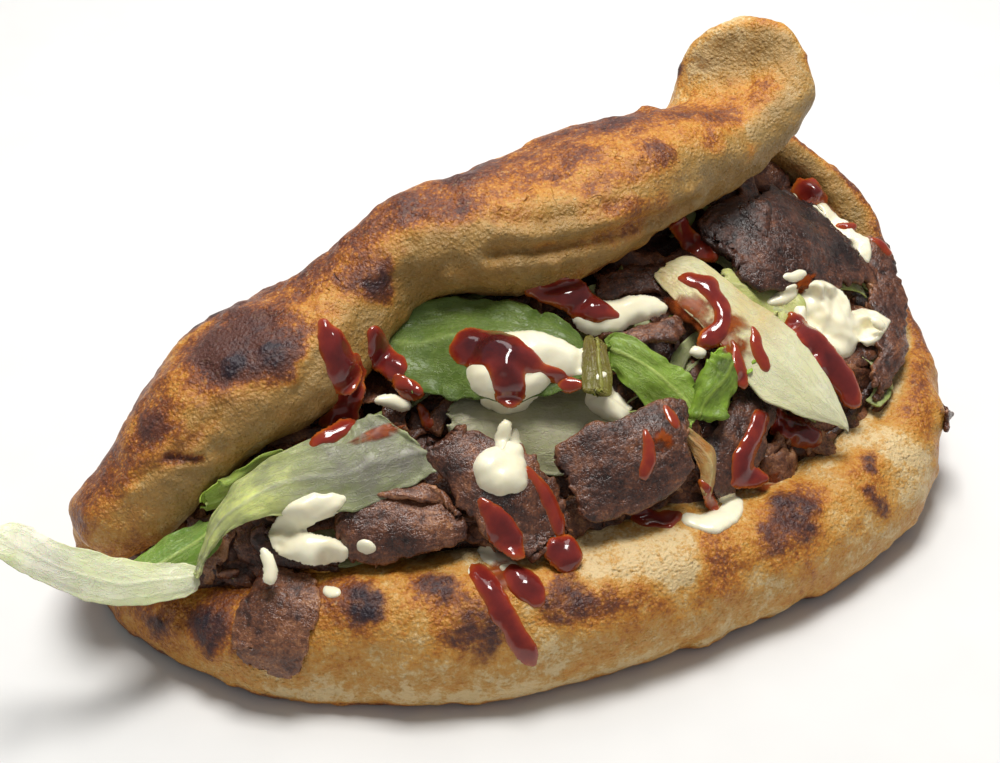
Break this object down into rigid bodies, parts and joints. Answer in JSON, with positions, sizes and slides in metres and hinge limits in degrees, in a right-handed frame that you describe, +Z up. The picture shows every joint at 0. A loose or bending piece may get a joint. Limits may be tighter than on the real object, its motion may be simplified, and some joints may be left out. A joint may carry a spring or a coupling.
{
  "type": "folded flatbread sandwich",
  "caption": "Puffy round flatbread folded over kebab meat, lettuce, mayonnaise and dark red sauce, open along one long side and curled up at one end.",
  "frame": {"origin": "below the middle of the whole sandwich's bounding box, on the surface the bread rests on", "axes": "+X along the fold, towards the end where the upper layer curls up; +Y towards the fold, so the open mouth faces -Y; +Z up"},
  "size_m": [0.2922, 0.148, 0.1204],
  "materials": {
    "bread": "baked, floury and charred in spots",
    "filling": "shredded meat, moist",
    "leaf_dark": "fresh leaf, slightly shiny",
    "leaf_bright": "fresh leaf, slightly shiny",
    "leaf_pale": "crisp pale leaf, slightly shiny",
    "meat": "roast meat, oily",
    "mayo": "glossy",
    "sauce": "glossy, translucent"
  },
  "bodies": {
    "root": {"flatbread": "bread", "filling": "filling", "lettuce_shaded": "leaf_pale", "lettuce_back": "leaf_pale", "meat_under_flap": "meat", "meat_left_bits": "meat", "meat_slab_left": "meat", "meat_folds": "meat", "meat_slab_back": "meat", "meat_right": "meat", "meat_chunk": "meat", "meat_strip_left": "meat", "meat_strip_mid": "meat", "lettuce_left_low": "leaf_dark", "lettuce_left_high": "leaf_bright", "lettuce_tail": "leaf_pale", "lettuce_pale": "leaf_pale", "lettuce_mid": "leaf_bright", "lettuce_frill": "leaf_bright", "lettuce_wedge": "leaf_pale", "lettuce_dark": "leaf_dark", "lettuce_stub": "leaf_dark", "meat_oval": "meat", "lettuce_curl": "leaf_pale", "meat_on_rim": "meat", "meat_crumb": "meat", "mayo_behind_oval": "mayo", "mayo_leaf": "mayo", "mayo_drop": "mayo", "mayo_left": "mayo", "mayo_mid": "mayo", "mayo_right": "mayo", "mayo_rim": "mayo", "mayo_back": "mayo", "mayo_low": "mayo", "sauce_flap": "sauce", "sauce_leaf": "sauce", "sauce_mid": "sauce", "sauce_chunk": "sauce", "sauce_long": "sauce", "sauce_short": "sauce", "sauce_round": "sauce", "sauce_under_oval": "sauce", "sauce_fold": "sauce", "sauce_rim_right": "sauce", "sauce_stripe": "sauce", "sauce_wedge": "sauce", "sauce_back": "sauce", "sauce_ear": "sauce"}
  },
  "joints": []
}
